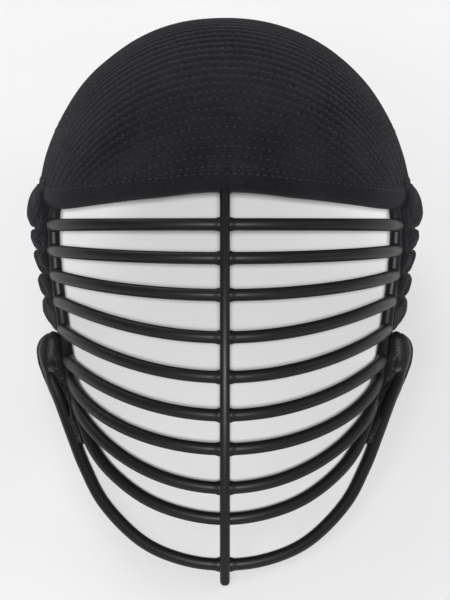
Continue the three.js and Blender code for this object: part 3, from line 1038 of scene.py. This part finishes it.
JAW_GRID = Sizes(row_step=1.3, around=96, top_round=1.2, bottom_round=1.4)
JAW_PROUD = 0.6
# The welt's share of the way round the pad, its size, how it thins out at its ends, and its stitches' place
WELT = Sizes(seam=0.36, height=0.7, width=0.9, taper=0.3, stitches_beside=6, trim=16)
# The leather covers the rim's end: thickness over the rod, heights between which the pocket opens, the way it
# faces, how soft its edge is, and how near the rod it is whole and how far off it ends
POCKET = Sizes(thick=1.5, open=117.0, whole=121.0, facing=(0.15, -0.97, 0.2), soft=0.8,
               near=5.5, far=9.0, spacing=0.5, around=30, front=2.5)
# Across the rod the pocket is round up to a share of its radius, and goes on straight from there to its foot
CREST = Sizes(round=0.75, height=0.661, slope=1.134, foot=1.7)
# The rods' lengths that are cut out of the pad
SEAT = Sizes(spacing=1.6, aside=60.0, low=60.0, high=152.0)
CRISP_EDGE = radians(45)


def jaw_pad_grid():
    dense = even_line(smooth_line(np.array(JAW_PAD, float)), JAW_GRID.row_step)
    rows = [level_section(r[1], r[2] + JAW_PROUD, r[3], r[4], r[0], JAW_GRID.around) for r in dense]
    above, below = (rounded_over(ring, ring[:, 0].mean(), lift, thin=0.0, shorter=1.0)
                    for ring, lift in ((rows[0], JAW_GRID.top_round), (rows[-1], -JAW_GRID.bottom_round)))
    return np.array(above[::-1] + rows + below)


def pocketed(points, normal):
    """Swells the pad's front over the end of the rim, so that the rod goes into a pocket."""
    facing = unit(np.array(POCKET.facing))
    end = even_line(RIM_LINE, POCKET.spacing)
    end = end[(end[:, 0] > 0) & (end[:, 2] > POCKET.open)]
    whole = np.clip((end[:, 2] - POCKET.open) / (POCKET.whole - POCKET.open), 0.01, 1)
    radius = (ROD_RADIUS + GAP + POCKET.thick) * whole[None] ** 0.5
    swollen = points.copy()
    flat = swollen.reshape(-1, 3)
    near = np.flatnonzero(norm(flat - end[len(end) // 2], axis=1) < POCKET.around)
    away = end[None] - flat[near][:, None]
    ahead = away @ facing
    aside = norm(away - ahead[..., None] * facing, axis=2) / radius
    crest = np.where(aside < CREST.round, np.sqrt(np.clip(1 - aside ** 2, 0, None)),
                     CREST.height - CREST.slope * (aside - CREST.round))
    reach = np.where(aside < CREST.foot, ahead + radius * crest, -99).max(1)
    lift = (reach + np.sqrt(reach ** 2 + POCKET.soft ** 2)) / 2
    within = 1 - soft_step(norm(away, axis=2).min(1), POCKET.near, POCKET.far)
    front = np.clip((normal.reshape(-1, 3)[near] @ facing) * POCKET.front, 0, 1)
    flat[near] += facing * (lift * within * front)[:, None]
    return swollen


def carved(piece, lines):
    """Cuts seats for rods along the lines out of a piece, and keeps their edges crisp."""
    for number, line in enumerate(lines):
        grid = rod_grid(line, np.full(len(line), ROD_RADIUS + GAP))
        mesh = bpy.data.meshes.new(f"seat_{number}")
        mesh.from_pydata(to_row(grid.reshape(-1, 3)).tolist(), [], grid_faces(*grid.shape[:2])[0].tolist())
        outward(mesh)
        cutter = linked(mesh.name, mesh)
        cut = piece.modifiers.new("seat", "BOOLEAN")
        cut.operation = "DIFFERENCE"
        cut.solver = "EXACT"
        cut.object = cutter
        result = bpy.data.meshes.new_from_object(evaluated(piece))
        piece.modifiers.clear()
        piece.data = result
        bpy.data.objects.remove(cutter)
    bm = bmesh.new()
    bm.from_mesh(piece.data)
    for edge in bm.edges:
        edge.smooth = edge.calc_face_angle(0.0) < CRISP_EDGE
    bm.to_mesh(piece.data)
    bm.free()


def build_jaw_pads():
    grid = jaw_pad_grid()
    pins = grid[..., 0] < grid[..., 0].mean(1, keepdims=True) - PIN_INSIDE
    pins[:END_ROWS] = pins[-END_ROWS:] = True
    seam = int(WELT.seam * JAW_GRID.around)
    pins[:, seam] = True
    grid = inflated("jaw_pad", grid, pins, growth=0.04, cap=1.2)
    fine = doubled(doubled(grid, 0), 1)
    normal = smooth_normals(fine)
    from_seam = norm(fine - fine[:, 2 * seam][:, None], axis=2)
    taper = np.sin(np.linspace(0, pi, len(fine)))[:, None] ** WELT.taper
    welt = WELT.height * taper * np.exp(-((from_seam / WELT.width) ** 4))
    fine = pocketed(fine + normal * welt[..., None], normal)
    left = grid_piece("jaw_pad_left_leather", fine, [LEATHER], ["jaw_pad_left"])
    near = [line[(line[:, 0] > SEAT.aside) & (line[:, 2] < SEAT.high) & (line[:, 2] > SEAT.low)]
            for line in (even_line(FRAME_SIDE, SEAT.spacing), even_line(RIM_LINE, SEAT.spacing))]
    carved(left, near)
    right = mirrored_piece("jaw_pad_right_leather", left, ["jaw_pad_right"])
    beside = slice(WELT.trim, -WELT.trim), 2 * seam + WELT.stitches_beside
    run = stitches_along(fine[beside], normal[beside])
    stitches = stitching_piece("jaw_pad_left_stitches", [clear_stitches(run)])
    mirrored_piece("jaw_pad_right_stitches", stitches)


# Stage, light and camera

# The mask's top, foot and middle in the picture's pixels
PHOTO = Sizes(width=450, height=600, top=16.9, foot=583.6, middle_x=224.9)
LENS = 1000.0
SENSOR = 36.0
LOOK_DEPTH = -70.0
FLOOR = Sizes(half=20.0, tone=0.8, darker=0.79, lighter=0.83)
SKY = {"Color": (0.98, 0.98, 1.0, 1), "Strength": 0.17}
SUN = Sizes(energy=3.22, angle=radians(1.6))
# Place and size in metres, and power in watts
SOFT_LIGHTS = {
    "key_light": ((-0.9, -1.9, 2.3), 1.2, 8),
    "side_light": ((1.9, 0.3, 1.3), 1.0, 4),
    "back_light": ((-0.7, 1.9, 1.3), 1.4, 13),
}
LIT_PLACE = (0, 0, 0.08)


def aimed(name, data, place, direction):
    """A camera or light at a place, turned to look along a direction."""
    made = linked(name, data)
    made.location = Vector(place)
    made.rotation_mode = "QUATERNION"
    made.rotation_quaternion = Vector(direction).to_track_quat("-Z", "Y")
    return made


def photo_camera():
    """Looks straight at the face of the leaned mask from far off, so the picture is almost flat."""
    pixel = MASK_HEIGHT / (PHOTO.foot - PHOTO.top)
    distance = PHOTO.height * pixel * LENS / SENSOR
    middle = [(PHOTO.width / 2 - PHOTO.middle_x) * pixel, LOOK_DEPTH,
              (PHOTO.foot - PHOTO.height / 2) * pixel]
    back = np.array([0, -cos(LEAN), sin(LEAN)])
    data = bpy.data.cameras.new("camera")
    data.lens = LENS
    data.sensor_width = SENSOR
    data.clip_start = 0.1
    data.clip_end = 60
    bpy.context.scene.camera = aimed("camera", data, to_row([middle])[0] + back * distance * MM, -back)


def floor():
    mesh = bpy.data.meshes.new("floor")
    corners = [(x * FLOOR.half, y * FLOOR.half, 0) for x, y in ((-1, -1), (1, -1), (1, 1), (-1, 1))]
    mesh.from_pydata(corners, [], [(0, 1, 2, 3)])
    material, tree = shader("pale_floor", [FLOOR.tone] * 3, 0.8, Specular_IOR_Level=0.2)
    stops = [(0.3, [FLOOR.darker] * 3), (0.7, [FLOOR.lighter] * 3)]
    feed(tree, ramp(tree, object_noise(tree, 3), stops), "Base Color")
    mesh.materials.append(material)
    plane = linked("floor", mesh)


def sun_light():
    """Comes from the camera's side, so that the shadows of the bars lie behind the bars."""
    data = bpy.data.lights.new("sun", "SUN")
    data.energy = SUN.energy
    data.angle = SUN.angle
    aimed("sun", data, (0, 0, 0), (0, cos(LEAN), -sin(LEAN)))


def studio():
    floor()
    world = bpy.data.worlds.new("studio")
    bpy.context.scene.world = world
    world.use_nodes = True
    for socket, value in SKY.items():
        world.node_tree.nodes["Background"].inputs[socket].default_value = value
    sun_light()
    for name, (place, size, power) in SOFT_LIGHTS.items():
        data = bpy.data.lights.new(name, "AREA")
        data.shape = "DISK"
        data.size = size
        data.energy = power
        aimed(name, data, place, Vector(LIT_PLACE) - Vector(place))
    bpy.context.scene.view_settings.view_transform = "Standard"


photo_camera()
studio()
build_grille()
build_centre_bar()
build_dome()
build_ear_pads()
build_jaw_pads()
